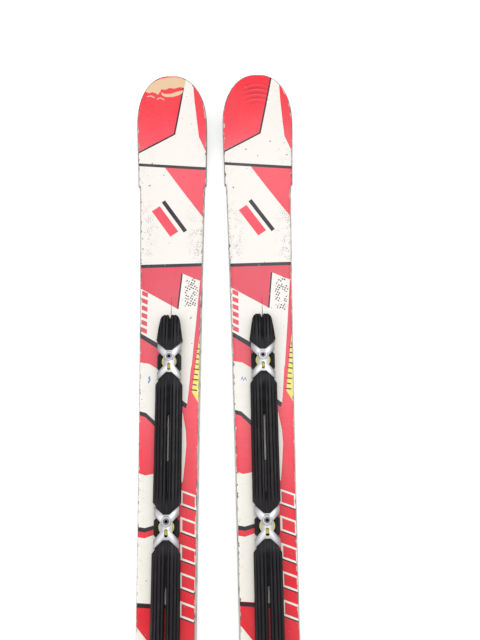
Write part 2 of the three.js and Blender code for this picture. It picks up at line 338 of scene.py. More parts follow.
def level(t, index):
    # heights through the laminate, from 0 under the base to 5 on the topsheet
    core = ski["tipCore"] + (ski["waistCore"] - ski["tipCore"]) * smoothStep(t / ski["thickFrom"])
    thinning = smoothStep((t - ski["thickTo"]) / (skiLength - ski["thickTo"]))
    core += (ski["tailCore"] - ski["waistCore"]) * thinning
    layers = [ski["base"], ski["titanal"], core, ski["titanal"], ski["topsheet"]]
    return rocker(t) + sum(layers[:index])


# Rows across the ski: close together round the nose, wider apart along the running length.
rowsAlong = {
    "nose": 20, "shovel": 22, "shovelPitch": 6, "running": 140, "runningPitch": 12, "clearOfEnds": 0.3,
}


def stationsBetween(start, end, extra=()):
    r, noseEnd, clear = rowsAlong, ski["noseLength"], rowsAlong["clearOfEnds"]
    nose = [noseEnd * (i / r["nose"]) ** 2 for i in range(r["nose"])]
    shovel = [noseEnd + r["shovelPitch"] * i for i in range(r["shovel"])]
    shovelEnd = noseEnd + r["shovelPitch"] * r["shovel"]
    running = [shovelEnd + r["runningPitch"] * i for i in range(r["running"])]
    inside = {t for t in [*nose, *shovel, *running, *extra] if start + clear < t < end - clear}
    return sorted({start, end, *inside})


def skiPlace(side):
    low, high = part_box(f"{side}_topsheet")
    return Matrix.Translation(((low.x + high.x) / 2, cadBox[1].y, 0)) @ Matrix.Scale(mm, 4)


def seatPlace(side, at, halfSpan, turned=False):
    # a piece that lies along the ski, tilted as the topsheet is there
    front, back = level(at - halfSpan, 5), level(at + halfSpan, 5)
    place = Matrix.Translation((0, -at, (front + back) / 2))
    place = skiPlace(side) @ place @ Matrix.Rotation(math.atan2(front - back, 2 * halfSpan), 4, "X")
    return place @ Matrix.Rotation(math.pi if turned else 0, 4, "Z")


# Topsheet print: plain blocks of ink as outlines of (across, from the tip), the later ones on top.
blocks = [
    ("white", [(20, 1), (29, 3), (31, 30), (36, 74), (48, 100), (48, 116), (-48, 109), (-48, 93), (3, 70)]),
    ("dark", [(18.4, 1), (20.4, 1), (4.1, 70.6), (-48, 96), (-48, 93.4), (2.1, 69.6)]),
    ("white", [(-48, 111.3), (48, 118.5), (48, 254), (-48, 254)]),
    ("red", [(-11, 112.8), (48, 116.9), (48, 196.2)]),
    ("dark", [(-48, 107.6), (48, 114.8), (48, 118.7), (-48, 111.5)]),
    ("dark", [(-14, 163.5), (-9.6, 160.4), (20, 204.7), (15.6, 207.9)]),
    ("red", [(-27, 176.1), (-16.5, 168.8), (8.5, 206.3), (-2, 213.7)]),
    ("white", [(-48, 257), (48, 256), (48, 346.2), (20, 346.2), (20, 380.4), (-48, 346.2)]),
    ("red", [(-48, 257), (48, 256), (48, 281.7), (13.2, 265.6), (8.1, 314.3), (-48, 280.5)]),
    ("dark", [(-48, 253.2), (48, 251.7), (48, 256.2), (-48, 257.8)]),
    ("dark", [(13.2, 265.6), (14.9, 266.6), (10, 315.4), (8.1, 314.3)]),
    ("dark", [(0.6, 299), (0.9, 299), (1.3, 327), (0.3, 327)]),
    ("white", [(8, 315), (33, 323.4), (32, 334.8), (26.7, 393.9), (21.9, 438.2), (8, 427)]),
    ("red", [(37, 277.4), (48, 277.4), (48, 332.7), (40, 332.7), (25.2, 421.5), (22.2, 441.4), (26.7, 394.1),
             (32.1, 334.3)]),
    ("red", [(33, 364.9), (30, 441.2), (22, 441.2), (26, 393.9)]),
    ("yellow", [(48, 323.4), (48, 443.2), (38.5, 442.2), (27.6, 423.1), (33.7, 372.7), (39.1, 335.9)]),
    ("dark", [(-48, 339.8), (-8, 364.4), (-8, 372), (-48, 345.4)]),
    ("dark", [(12, 430.5), (16.7, 434), (21.9, 438.2), (20.3, 443.4), (16.7, 441), (12, 438)]),
    ("white", [(-48, 382), (-37, 384.6), (-25.4, 386.6), (-12.8, 394.8), (0, 408.3), (6, 426.8), (6, 482.1),
               (-4, 472.9), (-16.7, 458.6), (-27.5, 448.5), (-35.9, 446.1), (-48, 444.3)]),
    ("dark", [(-48, 444.3), (-35.9, 446.1), (-27.5, 448.5), (-16.7, 458.6), (-4, 472.9), (-4, 478.8),
              (-17.4, 464.5), (-28.3, 453.7), (-36.1, 451), (-48, 449.2)]),
    ("white", [(-6, 426), (6, 426), (6, 507), (-6, 507)]),
    ("dark", [(-6, 507), (6, 507), (6, 560), (-6, 560)]),
    ("white", [(12, 443.2), (16.9, 450), (20.7, 471.9), (21.4, 487.3), (19.9, 508.5), (17.6, 530.8),
               (12, 539)]),
    ("white", [(-48, 517.7), (-34.9, 520.6), (-26.6, 523.6), (-16.9, 522), (-6, 519.7), (-6, 580.4),
               (-15, 582.3), (-25.4, 585.3), (-34.6, 583.8), (-48, 579.3)]),
    ("dark", [(-48, 577.8), (-34.6, 582.1), (-25.4, 583.7), (-15, 580.8), (-6, 578.7), (-6, 583.5),
              (-15, 585.5), (-25.4, 588.5), (-34.6, 587), (-48, 582.6)]),
    ("white", [(-48, 589.8), (-34.6, 593.6), (-25.4, 595.1), (-15, 591.6), (4, 587.3), (4, 667.2),
               (-48, 663.7)]),
    ("dark", [(-48, 663.8), (4, 668.1), (4, 672.6), (-48, 668.4)]),
    ("white", [(-48, 670.8), (-33.6, 687.9), (-18.2, 706.2), (10, 739.3), (10, 790), (-48, 790)]),
    ("white", [(-48, 925), (48, 950), (48, 1062), (-48, 1040)]),
    ("dark", [(-48, 918), (48, 943), (48, 949), (-48, 924)]),
    ("white", [(-48, 1296), (-14, 1345), (-14, 1492), (-48, 1440)]),
    ("dark", [(-48, 1288), (-14, 1337), (-14, 1344), (-48, 1295)]),
    ("white", [(-48, 1560), (48, 1628), (48, 1772), (-48, 1704)]),
    ("dark", [(-48, 1551), (48, 1619), (48, 1626), (-48, 1558)]),
    ("yellow", [(48, 1380), (48, 1492), (17, 1492), (26, 1430)]),
]
bars = {"count": 6, "from": 289, "pitch": 9.8, "left": -36.6, "width": 7.4, "slant": 3.4, "height": 6.2}
ticks = {
    "count": 9, "from": (30.2, 419.6), "to": (36.6, 367),
    "long": 7.4, "short": 4.6, "thick": 1.7, "slant": 0.9,
}
flashes = {"from": 541, "pitch": 30.5, "count": 5, "x": 24.8, "shadow": (1.3, 1.9)}
flashShape = [(-9.5, 0), (9.5, 7), (9.5, 24), (-9.5, 17)]
flashInside = [(-7.2, 3.2), (7.2, 8.5), (7.2, 20.8), (-7.2, 15.5)]
dotPatch = [(17.5, 276.3), (31, 272.1), (35, 292), (30, 318.1), (18, 315)]
peeled = [(-36, 17.2), (-31, 12.7), (-26, 9), (-21, 6.1), (-13, 3.4), (-4, 2.1), (6, 1.8), (14, 3), (20, 5.7),
          (19, 9.8), (17.2, 14.3), (12, 13.1), (4, 14.9), (-2, 13.9), (-8, 16), (-13, 15.1), (-15, 18),
          (-18, 21.7), (-21, 19.7), (-25, 18.4), (-30, 19.7), (-33, 18.4)]
peeledStrip = [(-14, 18.9), (-8, 20.9), (0, 20.5), (8, 18.2), (16, 16.8), (15, 20.1), (10, 22.5), (2, 24.3),
               (-7, 24.4), (-12, 22.6)]
curls = [[(-33, 23), (-27, 22.1), (-22, 24.3), (-23, 25.4), (-28, 23.6), (-33, 24.1)],
         [(-20, 26.2), (-15, 24.4), (-9, 27.1), (-10, 28.2), (-15, 25.9), (-19, 27.4)]]
penMark = {"left": [(-27, 405), (-24, 402), (-23, 407), (-25, 412), (-26.5, 410.5), (-24.8, 406)],
           "right": [(-27.6, 408), (-25.6, 404), (-24.4, 408.5), (-22, 405), (-20.5, 409), (-20.7, 410.6),
                     (-22.3, 407), (-24.6, 410.6), (-25.8, 406.4), (-27.2, 409.6)]}


def drawBlocks(side):
    drawn = list(blocks)
    for i in range(bars["count"]):
        t, left, height = bars["from"] + bars["pitch"] * i, bars["left"], bars["height"]
        right, down = left + bars["width"], bars["slant"]
        drawn.append(("red", [(left, t), (right, t + down), (right, t + down + height), (left, t + height)]))
    for i in range(ticks["count"]):
        u = i / (ticks["count"] - 1)
        x, t = (a + (b - a) * u for a, b in zip(ticks["from"], ticks["to"]))
        half, thick, end = ticks["short" if i % 2 else "long"] / 2, ticks["thick"], t + ticks["slant"]
        tick = [(x - half, t), (x + half, end), (x + half, end + thick), (x - half, t + thick)]
        drawn.append(("steelBlue", tick))
    for i in range(flashes["count"]):
        x0, t0 = flashes["x"], flashes["from"] + flashes["pitch"] * i
        across, along = flashes["shadow"]
        drawn.append(("dark", [(x0 + x + across, t0 + t + along) for x, t in flashShape]))
        drawn.append(("white", [(x0 + x, t0 + t) for x, t in flashShape]))
        drawn.append(("red", [(x0 + x, t0 + t) for x, t in flashInside]))
    drawn.append(("blue", penMark[side]))
    if side == "left":
        drawn += [("tan", peeled), ("tan", peeledStrip), *(("pink", curl) for curl in curls)]
    return drawn


def inkAt(drawn, x, t):
    for name, block in reversed(drawn):
        if holds(block, x, t):
            return name
    return "red"


# The sun has yellowed the white unevenly; the red and the dark are lighter over roughly the front 500 mm from
# the tip, a painted sheen on the gloss. Each tone's colour at distances from the tip; the other inks have one
# colour each.
inks = {"yellow": "#fbee7c", "tan": "#edcba2", "pink": "#f3b0a6", "blue": "#6f97cf", "steelBlue": "#48434f"}
fadeAndSheen = {
    "red": [(0, "#f8303f"), (40, "#fa3e4d"), (90, "#fd5a69"), (190, "#f75163"), (262, "#e85264"),
            (330, "#e65466"), (440, "#ff5a6a"), (540, "#f43a4b"), (640, "#ea1e31"), (1880, "#e01b2d")],
    "white": [(0, "#f9f4ed"), (300, "#f9f5ee"), (470, "#fcf9f0"), (560, "#fbf8ee"), (700, "#f8f4e9"),
              (1880, "#f2ecdf")],
    "dark": [(0, "#2f2a35"), (300, "#322c38"), (470, "#28222e"), (560, "#130f19"), (1880, "#130f19")],
}


def inkWithFadeAndSheen(name, t):
    if name not in fadeAndSheen:
        return linear(inks[name])
    stops = fadeAndSheen[name]
    for (t0, one), (t1, other) in zip(stops, stops[1:]):
        if t <= t1:
            u = max(t - t0, 0) / (t1 - t0)
            return [a + (b - a) * u for a, b in zip(linear(one), linear(other))]
    return linear(stops[-1][1])


# Polyamide topsheet over its print, a clear gloss skin: ink shows deep under a sharp shine, with hazy scuffs,
# grey grit worn into the shovel, and the ink chipped back to pale sheet along the rim.
def makePrintedGloss():
    material, tree, shader, at = newMaterial(
        "printedPolyamide", "#ea3646", 0.3,
        IOR=1.53, Specular_IOR_Level=0.25, Coat_Weight=0.15, Coat_Roughness=0.12,
    )
    ink = addNode(tree, "Attribute", attribute_name="ink", output="Color")
    rim = addNode(tree, "Attribute", attribute_name="rim", output="Fac")
    dots = addNode(tree, "Attribute", attribute_name="dots", output="Fac")
    grit = addNode(tree, "Attribute", attribute_name="grit", output="Fac")
    # uneven ageing of the ink, some 60 mm across
    ageing = patches(tree, at, 60, 0.35, 0.7, (0, 0.05), detail=3)
    # halftone dots 3.2 mm apart, turned by 30 degrees, worn off in places
    grid = addNode(tree, "Mapping", {"Vector": at, "Rotation": (0, 0, math.radians(30))})
    spacing = {"Vector": grid, "Scale": perMm(3.2), "Randomness": 0.3}
    fromDot = addNode(tree, "TexVoronoi", spacing, voronoi_dimensions="2D")
    wear = addNode(tree, "TexNoise", {"Vector": at, "Scale": perMm(9), "Detail": 1})
    unworn = addNode(tree, "Math", {0: wear, 1: 0.47}, operation="GREATER_THAN")
    dotInk = addNode(tree, "Math", {0: fromDot, 1: 0.31}, operation="LESS_THAN")
    # grit specks a millimetre across, denser where the boots and the other ski rub
    specks = patches(tree, at, 1.1, 0.56, 0.62)
    clouds = patches(tree, at, 9, 0.46, 0.6)
    for share in (dots, unworn):
        dotInk = addNode(tree, "Math", {0: dotInk, 1: share}, operation="MULTIPLY")
    for share in (clouds, grit):
        specks = addNode(tree, "Math", {0: specks, 1: share}, operation="MULTIPLY")
    # a few larger nicks anywhere
    nicks = patches(tree, at, 5.5, 0.715, 0.73, detail=4)
    # chips along the rim reach in up to 2 mm where the noise is high
    chipDepth = patches(tree, at, 6, 0.5, 0.75, (0.15, 2.4), detail=3)
    chipped = addNode(tree, "Math", {0: rim, 1: chipDepth}, operation="LESS_THAN")
    chipTone = layColours(tree, "#cfc6ba", (patches(tree, at, 11, 0.45, 0.55, detail=1), "#6a6168"))
    colour = layColours(
        tree, ink, (ageing, "#d9cfc6"), (dotInk, "#1d1822"), (specks, "#58525a"), (nicks, "#8a7f78"),
        (chipped, chipTone),
    )
    # long hairline scuffs dull the shine, 0.5 mm wide and 40 mm long
    scuffs = {"Value": hairlines(tree, at, 0.5, 0.012), "From Min": 0.5, "From Max": 0.72}
    roughness = addNode(tree, "MapRange", {**scuffs, "To Min": 0.24, "To Max": 0.46})
    wave = addNode(tree, "TexNoise", {"Vector": at, "Scale": perMm(16)})
    height = addNode(tree, "Math", {0: chipped, 1: -0.6, 2: wave}, operation="MULTIPLY_ADD")
    finishShader(tree, shader, colour, roughness, (height, 0.12, 0.35))
    return material


# Sintered polyethylene base, stone ground: near black, waxy, with fine grooves along the running length.
def makeRunningBase():
    material, tree, shader, at = newMaterial("sinteredPolyethylene", "#1b1b1d", 0.42, IOR=1.51)
    groove = hairlines(tree, at, 0.8, 0.01)
    haze = patches(tree, at, 45, 0.35, 0.7, detail=3)
    ends = {"From Min": 0.3, "From Max": 0.7, "To Min": 0.32, "To Max": 0.55}
    waxy = addNode(tree, "MapRange", {"Value": groove, **ends})
    finishShader(tree, shader, layColours(tree, "#161618", (haze, "#2b2b2e")), waxy, (groove, 0.05, 0.4))
    return material


# Hardened steel edge, filed lengthwise: bright with hairline file marks and a few brown rust freckles.
def makeFiledSteel():
    material, tree, shader, at = newMaterial("filedSteel", "#b6b7b8", 0.34, Metallic=1.0)
    filed = hairlines(tree, at, 0.4, 0.02)
    bright = addNode(tree, "MapRange", {"Value": filed, "From Min": 0.35, "From Max": 0.65})
    rust = patches(tree, at, 3.5, 0.64, 0.72, detail=3)
    colour = layColours(tree, "#9c9ea0", (bright, "#cdd0d2"), (rust, "#7a4f34"))
    dull = addNode(tree, "MapRange", {"Value": rust, "To Min": 0.3, "To Max": 0.7})
    finishShader(tree, shader, colour, dull, (filed, 0.03, 0.4))
    return material


# Rolled aluminium alloy sheet: only its cut rim shows, a thin grey line with rolling marks.
def makeRolledAlloy():
    material, tree, shader, at = newMaterial("rolledAlloy", "#a9abad", 0.42, Metallic=1.0)
    rolled = hairlines(tree, at, 0.6, 0.03)
    ends = {"From Min": 0.3, "From Max": 0.7, "To Min": 0.36, "To Max": 0.52}
    dull = addNode(tree, "MapRange", {"Value": rolled, **ends})
    finishShader(tree, shader, layColours(tree, "#8d8f92", (rolled, "#bfc1c3")), dull)
    return material


# Laminated poplar: pale strips with long grain, seen only where the layers are looked at apart.
def makePoplar():
    material, tree, shader, at = newMaterial("laminatedPoplar", "#c9a473", 0.68)
    grain = hairlines(tree, at, 2.2, 0.04, detail=3)
    wave = {"Vector": at, "Scale": perMm(180), "Distortion": 0.4}
    strips = addNode(tree, "TexWave", wave, output="Fac", bands_direction="X")
    colour = layColours(tree, "#a97f4f", (grain, "#dcbb8a"), (strips, "#cda878"))
    finishShader(tree, shader, colour, relief=(grain, 0.05, 0.5))
    return material


# Milled phenolic sidewall: a dull beige grey with cutter lines along it and dark scuffs from the other ski.
def makePhenolic():
    material, tree, shader, at = newMaterial("milledPhenolic", "#bdb5a5", 0.5, IOR=1.6)
    milled = hairlines(tree, at, 0.7, 0.012)
    dirt = patches(tree, at, 14, 0.5, 0.68, detail=4)
    ends = {"From Min": 0.3, "From Max": 0.7, "To Min": 0.42, "To Max": 0.6}
    dull = addNode(tree, "MapRange", {"Value": milled, **ends})
    colour = layColours(tree, "#a79f90", (milled, "#cdc5b6"), (dirt, "#57525a"))
    finishShader(tree, shader, colour, dull, (milled, 0.04, 0.4))
    return material


# Moulded polyurethane at the tip and the tail: satin grey or black, scratched pale where it meets the snow.
def makeMouldedEnd(name, colour, scratch):
    material, tree, shader, at = newMaterial(name, colour, 0.44, IOR=1.5)
    scratched = layColours(tree, colour, (patches(tree, at, 1.1, 0.58, 0.66, detail=4), scratch))
    satin = patches(tree, at, 12, 0.35, 0.65, (0.36, 0.58), detail=3)
    texture = addNode(tree, "TexNoise", {"Vector": at, "Scale": perMm(0.9)})
    finishShader(tree, shader, scratched, satin, (texture, 0.03, 0.35))
    return material


# Injection moulded, glass filled nylon: black with a soft sheen on the ribs and painted shade in its grooves,
# a fine spark-eroded grain, pale hairlines along the travel and dust lying over it in faint patches.
def makeDeckNylon():
    material, tree, shader, at = newMaterial("glassFilledNylon", "#161318", 0.38, Specular_IOR_Level=0.3)
    # the groove attribute is painted shade: near black down in the grooves between the ribs
    groove = addNode(tree, "Attribute", attribute_name="groove", output="Fac")
    slid = {"Value": hairlines(tree, at, 0.8, 0.02), "From Min": 0.62, "From Max": 0.7}
    hairline = addNode(tree, "MapRange", slid)
    dust = patches(tree, at, 22, 0.48, 0.72, (0, 0.5), detail=4)
    colour = layColours(tree, "#141015", (dust, "#252027"), (hairline, "#3b363d"), (groove, "#020203"))
    handled = patches(tree, at, 9, 0.35, 0.65, (0.28, 0.42), detail=3)
    roughness = addNode(tree, "Math", {0: groove, 1: 0.4, 2: handled}, operation="MULTIPLY_ADD")
    grain = addNode(tree, "TexNoise", {"Vector": at, "Scale": perMm(0.7)})
    finishShader(tree, shader, colour, roughness, (grain, 0.04, 0.4))
    return material


# Binding plate, moulded nylon with a coarser grain: duller than the decks.
def makePlateNylon():
    material, tree, shader, at = newMaterial("grainedNylon", "#1a181c", 0.55, Specular_IOR_Level=0.3)
    worn = patches(tree, at, 18, 0.5, 0.7, (0, 0.6), detail=4)
    dull = addNode(tree, "MapRange", {"Value": worn, "From Max": 0.6, "To Min": 0.56, "To Max": 0.42})
    grain = addNode(tree, "TexVoronoi", {"Vector": at, "Scale": perMm(1.1)})
    finishShader(tree, shader, layColours(tree, "#151317", (worn, "#2c292e")), dull, (grain, 0.05, 0.45))
    return material


# Cast aluminium, blasted and satin anodised: soft silver with a fine even sparkle, a painted highlight
# along its high ridges and painted shade, grey, on its flanks.
def makeSatinAluminium():
    material, tree, shader, at = newMaterial("satinAluminium", "#dddbdd", 0.38, Metallic=1.0)
    # painted light and shade from an attribute: bright along the high ridges, grey on the flanks and round
    # the boss
    paintedLight = addNode(tree, "Attribute", attribute_name="paintedLight", output="Fac")
    rubbed = patches(tree, at, 6, 0.5, 0.7, (0, 0.35), detail=4)
    colour = layColours(tree, "#77767b", (paintedLight, "#f4f3f5"), (rubbed, "#b3b1b6"))
    satin = addNode(tree, "MapRange", {"Value": paintedLight, "To Min": 0.46, "To Max": 0.3})
    blasted = addNode(tree, "TexNoise", {"Vector": at, "Scale": perMm(0.5), "Detail": 1})
    finishShader(tree, shader, colour, satin, (blasted, 0.02, 0.4))
    return material


# Zinc plated steel screw: a harder shine than the bracket's, with painted shade, near black, in the socket
# and round the rim.
def makeZincSteel():
    material, tree, shader, at = newMaterial("zincSteel", "#c6c8ca", 0.26, Metallic=1.0)
    # the dirt attribute is painted shade: black in the socket and in the gap round the head's rim
    dirt = addNode(tree, "Attribute", attribute_name="dirt", output="Fac")
    stain = patches(tree, at, 2, 0.5, 0.68, detail=3)
    colour = layColours(tree, "#95969a", (stain, "#77736f"), (dirt, "#0c0b0c"))
    dull = addNode(tree, "MapRange", {"Value": stain, "To Min": 0.22, "To Max": 0.42})
    plating = addNode(tree, "TexNoise", {"Vector": at, "Scale": perMm(0.4), "Detail": 1})
    finishShader(tree, shader, colour, dull, (plating, 0.01, 0.5))
    return material


# Cast polyurethane damper: opaque yellow, slightly soft in its shine, grey with dust in places.
def makeElastomer():
    material, tree, shader, at = newMaterial(
        "castElastomer", "#f1df62", 0.48, IOR=1.5, Subsurface_Weight=0.08,
    )
    dust = patches(tree, at, 4, 0.48, 0.7, (0, 0.5), detail=3)
    dull = addNode(tree, "MapRange", {"Value": dust, "From Max": 0.5, "To Min": 0.42, "To Max": 0.66})
    skin = addNode(tree, "TexNoise", {"Vector": at, "Scale": perMm(1.2)})
    finishShader(tree, shader, layColours(tree, "#f2e168", (dust, "#c2b473")), dull, (skin, 0.03, 0.5))
    return material


printedGloss = makePrintedGloss()
runningBase = makeRunningBase()
filedSteel = makeFiledSteel()
rolledAlloy = makeRolledAlloy()
poplar = makePoplar()
phenolic = makePhenolic()
tipPlastic = makeMouldedEnd("tipPolyurethane", "#6f686d", "#c9b9b4")
tailPlastic = makeMouldedEnd("tailPolyurethane", "#242226", "#5b575c")
deckNylon = makeDeckNylon()
plateNylon = makePlateNylon()
satinAluminium = makeSatinAluminium()
zincSteel = makeZincSteel()
elastomer = makeElastomer()
print("materials made")


topsheet = {
    "columns": 20, "rimDrop": 0.35, "rimWidth": 0.6, "noseRim": 1.2,
    "fineFrom": 6, "finePitch": 1.25, "fineRows": 37,  # extra rows for the folds
    "peelDepth": 0.25, "peelEdge": 0.3,
    "wrinkle": 0.5, "wrinklePitch": 5.6, "wrinkleFrom": 7, "wrinkleTo": 36, "wrinkleX": -1, "wrinkleHalf": 20,
    "wrinkleBow": 0.012, "foldShade": 0.4, "foldLight": 0.2,
}
# grit lies near the rim, thickest between two distances from the tip, and thinly on the rear half
gritty = {
    "rimFrom": 14, "rimOver": 22, "front": 150, "rear": 275, "fade": 40, "least": 0.25, "end": 900,
    "behind": 0.12,
}
# the print's own map: the top in rows of this length, then the underside and the two walls above them
sheetMap = {
    "foldEvery": 480, "margin": 0.01, "reach": 0.98, "base": 0.004, "rowHeight": 0.2, "halfWidth": 48,
    "undersideAt": 0.81, "undersideHeight": 0.08,
    "wallsAt": (0.91, 0.955), "wallHeight": 0.03, "wallSpare": 120,
}


def topHalf(t):
    if t < ski["noseLength"]:
        share = 1 - t / ski["noseLength"]
        return outline(t - ski["tipRim"] * share) * (1 - 2 * ski["tipRim"] / ski["tipWidth"])
    return outline(t) - (ski["tipRim"] if t < ski["tipInsert"] else ski["topsheetInset"])


def wrinkleAt(x, t):
    # shallow folds in the worn right tip, curved about a point near its front
    along = (t - topsheet["wrinkleFrom"]) / (topsheet["wrinkleTo"] - topsheet["wrinkleFrom"])
    across = 1 - abs(x - topsheet["wrinkleX"]) / topsheet["wrinkleHalf"]
    if not 0 < along < 1 or across <= 0:
        return 0.0
    bowed = t - topsheet["wrinkleBow"] * (x - topsheet["wrinkleX"]) ** 2
    fold = math.sin(2 * math.pi * bowed / topsheet["wrinklePitch"])
    return topsheet["wrinkle"] * fold * smoothStep(across * 2) * smoothStep(4 * along * (1 - along))


def gritAt(x, t):
    g = gritty
    if t >= g["end"]:
        return g["behind"]
    worn = smoothStep((t - g["front"]) / g["fade"]) * smoothStep((g["rear"] - t) / g["fade"])
    nearRim = smoothStep((abs(x) - g["rimFrom"]) / g["rimOver"])
    return nearRim * (g["least"] + (1 - g["least"]) * worn)


def foldedSpot(face, corner, end):
    # where a corner of the topsheet lies on its own map
    m = sheetMap
    x, t = corner.co.x, -corner.co.y
    middle, up = face.calc_center_median(), face.normal.z
    row = min(int(-middle.y // m["foldEvery"]), 3)
    if up > 0.4:
        scale = m["reach"] / m["foldEvery"]
        return (
            m["margin"] + (t - m["foldEvery"] * row) * scale,
            m["base"] + row * m["rowHeight"] + (x + m["halfWidth"]) * scale,
        )
    if up < -0.4:
        across = (x + m["halfWidth"]) / (2 * m["halfWidth"])
        return m["margin"] + m["reach"] * t / skiLength, m["undersideAt"] + across * m["undersideHeight"]
    run = abs(x) + t
    if t > end - 0.01 and face.normal.y < -0.7:
        run = end + 2 * topHalf(end) - abs(x)
    height = (level(t, 5) - corner.co.z) / ski["topsheet"]
    wall = m["wallsAt"][0 if middle.x < 0 else 1]
    return m["margin"] + m["reach"] * run / (skiLength + m["wallSpare"]), wall + m["wallHeight"] * height


def makeTopsheet(side):
    name = f"{side}_topsheet"
    start, end = ski["tipRim"], protectorAt
    fine = [topsheet["fineFrom"] + topsheet["finePitch"] * i for i in range(topsheet["fineRows"])]
    folds = [sheetMap["foldEvery"] * i for i in (1, 2, 3)]
    rows = stationsBetween(start, end, [*(fine if side == "right" else []), *folds])
    columns, rim = topsheet["columns"], topsheet["rimWidth"]

    def place(t, column):
        half = topHalf(t)
        if column in (0, columns):
            return (half if column else -half), -t, level(t, 5) - topsheet["rimDrop"]
        u = 2 * (column - 1) / (columns - 2) - 1
        return u * (half - rim), -t, level(t, 5)

    bm = layGrid(rows, columns, place)
    drawn = drawBlocks(side)
    for _, block in [*drawn, ("dots", dotPatch)]:
        cutOutline(bm, [(x, -t) for x, t in block])
    reach = topsheet["peelEdge"]
    around = ((reach, 0), (-reach, 0), (0, reach), (0, -reach))
    for v in bm.verts:
        x, t = v.co.x, -v.co.y
        if side == "right":
            v.co.z += wrinkleAt(x, t)
        elif all(inkAt(drawn, x + dx, t + dt) == "tan" for dx, dt in around):
            v.co.z -= topsheet["peelDepth"]
    inkLayer = bm.loops.layers.float_color.new("ink")
    dotsLayer = bm.loops.layers.float_color.new("dots")
    for face in bm.faces:
        x, y = face.calc_center_median().xy
        colour = inkWithFadeAndSheen(inkAt(drawn, x, -y), -y)
        dotted = 1.0 if holds(dotPatch, x, -y) else 0.0
        for corner in face.loops:
            spot = corner.vert.co
            # painted shade darkens the ink where the folds dip, and painted light brightens it a little on
            # their crests
            fold = wrinkleAt(spot.x, -spot.y) / topsheet["wrinkle"] if side == "right" else 0.0
            shade = 1 + topsheet["foldShade"] * min(fold, topsheet["foldLight"])
            corner[inkLayer] = [*(c * shade for c in colour[:3]), 1]
            corner[dotsLayer] = (dotted, dotted, dotted, 1)
    closeBelow(bm, lambda x, y: (x, y, level(-y, 4)))
    rimLayer = bm.verts.layers.float.new("rim")
    gritLayer = bm.verts.layers.float.new("grit")
    for v in bm.verts:
        x, t = v.co.x, -v.co.y
        v[rimLayer] = min(topHalf(t) - abs(x), t * topsheet["noseRim"])
        v[gritLayer] = gritAt(x, t)
    mapLayer = bm.loops.layers.uv.new("OFBake")
    bm.normal_update()
    for face in bm.faces:
        for corner in face.loops:
            corner[mapLayer].uv = foldedSpot(face, corner.vert, end)
    makePiece(bm, f"{side}_printed_topsheet", name, printedGloss, skiPlace(side))


def makeBase(side):
    columns = 6

    def place(t, column):
        half = outline(t) if t <= ski["tipInsert"] else outline(t) - ski["edgeWidth"]
        return half * (2 * column / columns - 1), -t, level(t, 1)

    step = ski["tipInsert"] + 0.5
    bm = layGrid(stationsBetween(0, protectorAt, [ski["tipInsert"], step]), columns, place)
    closeBelow(bm, lambda x, y: (x, y, level(-y, 0)))
    makePiece(bm, f"{side}_ground_base", f"{side}_base", runningBase, skiPlace(side))


def rolledRim(column, columns, radius):
    # the two columns at each side roll down round the rim; gives how far across, down and in a column lies
    near = min(column, columns - column)
    if near >= 2:
        return 2 * (column - 2) / (columns - 4) - 1, 0, radius
    drop, inset = [(radius, 0), (radius * 0.3, radius * 0.3)][near]
    return (-1 if column < 2 else 1), drop, inset


tipEnd = {"columns": 16, "rimRadius": 0.9}


def makeTipInsert(side):
    # the plastic end of the laminate, rounded over where it stands out round the topsheet
    columns, radius = tipEnd["columns"], tipEnd["rimRadius"]

    def place(t, column):
        across, drop, inset = rolledRim(column, columns, radius)
        front = radius * max(0, 1 - t / radius)
        return across * (outline(t) - inset), -t, level(t, 4) - max(drop, front)

    bm = layGrid(stationsBetween(0, ski["tipInsert"], [radius / 2, radius]), columns, place)
    closeBelow(bm, lambda x, y: (x, y, level(-y, 1)))
    makePiece(bm, f"{side}_tip_end", f"{side}_tip_insert", tipPlastic, skiPlace(side))


tailEnd = {
    "columns": 14, "rows": 24, "rimRadius": 1.2, "cornerIn": 5, "cornerLength": 6,
    "ribDrop": 0.35, "ribs": (4, 6, 8),  # in twelfths of its length
}


def makeTailProtector(side):
    columns, length, radius = tailEnd["columns"], ski["protector"], tailEnd["rimRadius"]

    def place(u, column):
        t = protectorAt + length * u
        across, drop, inset = rolledRim(column, columns, radius)
        turned = max(0, (u * length - length + tailEnd["cornerLength"]) / tailEnd["cornerLength"])
        corner = tailEnd["cornerIn"] * max(0, 1 - math.sqrt(max(0, 1 - turned ** 2)))
        rib = tailEnd["ribDrop"] if drop == 0 and round(u * 12) in tailEnd["ribs"] else 0
        end = radius * max(0, 1 - (1 - u) * length / radius)
        return across * (outline(t) - corner - inset), -t, level(t, 5) - max(drop, end) - rib

    rows = tailEnd["rows"]
    bm = layGrid([i / rows for i in range(rows + 1)], columns, place)
    closeBelow(bm, lambda x, y: (x, y, level(-y, 0)))
    makePiece(bm, f"{side}_tail_cap", f"{side}_tail_protector", tailPlastic, skiPlace(side))


# The step and the foot have their place in millimetres and their height as a share of the wall.
sidewall = {
    "bevel": 0.5, "corner": 0.05, "cornerDrop": 0.35,
    "stepIn": 0.75, "stepAt": 0.5, "footIn": 0.3, "footAt": 0.2,
}


def makeSidewall(side, flank):
    # leans in towards the topsheet, with a milled step along its foot
    hand = -1 if flank == "left" else 1
    s, lean = sidewall, ski["sidewallLean"]
    insets = [ski["sidewallWidth"], lean + s["bevel"], lean + s["corner"], s["stepIn"], s["footIn"]]

    def place(t, column):
        low, high = level(t, 2), level(t, 3)
        step, foot = low + (high - low) * s["stepAt"], low + (high - low) * s["footAt"]
        heights = [high, high, high - s["cornerDrop"], step, foot]
        return hand * (outline(t) - insets[column]), -t, heights[column]

    bm = layGrid(stationsBetween(ski["tipInsert"], protectorAt), len(insets) - 1, place)
    closeBelow(bm, lambda x, y: (hand * min(abs(x), outline(-y) - 0.1), y, level(-y, 2)))
    node = f"{side}_sidewall_{flank}"
    makePiece(bm, f"{node}_milled", node, phenolic, skiPlace(side))


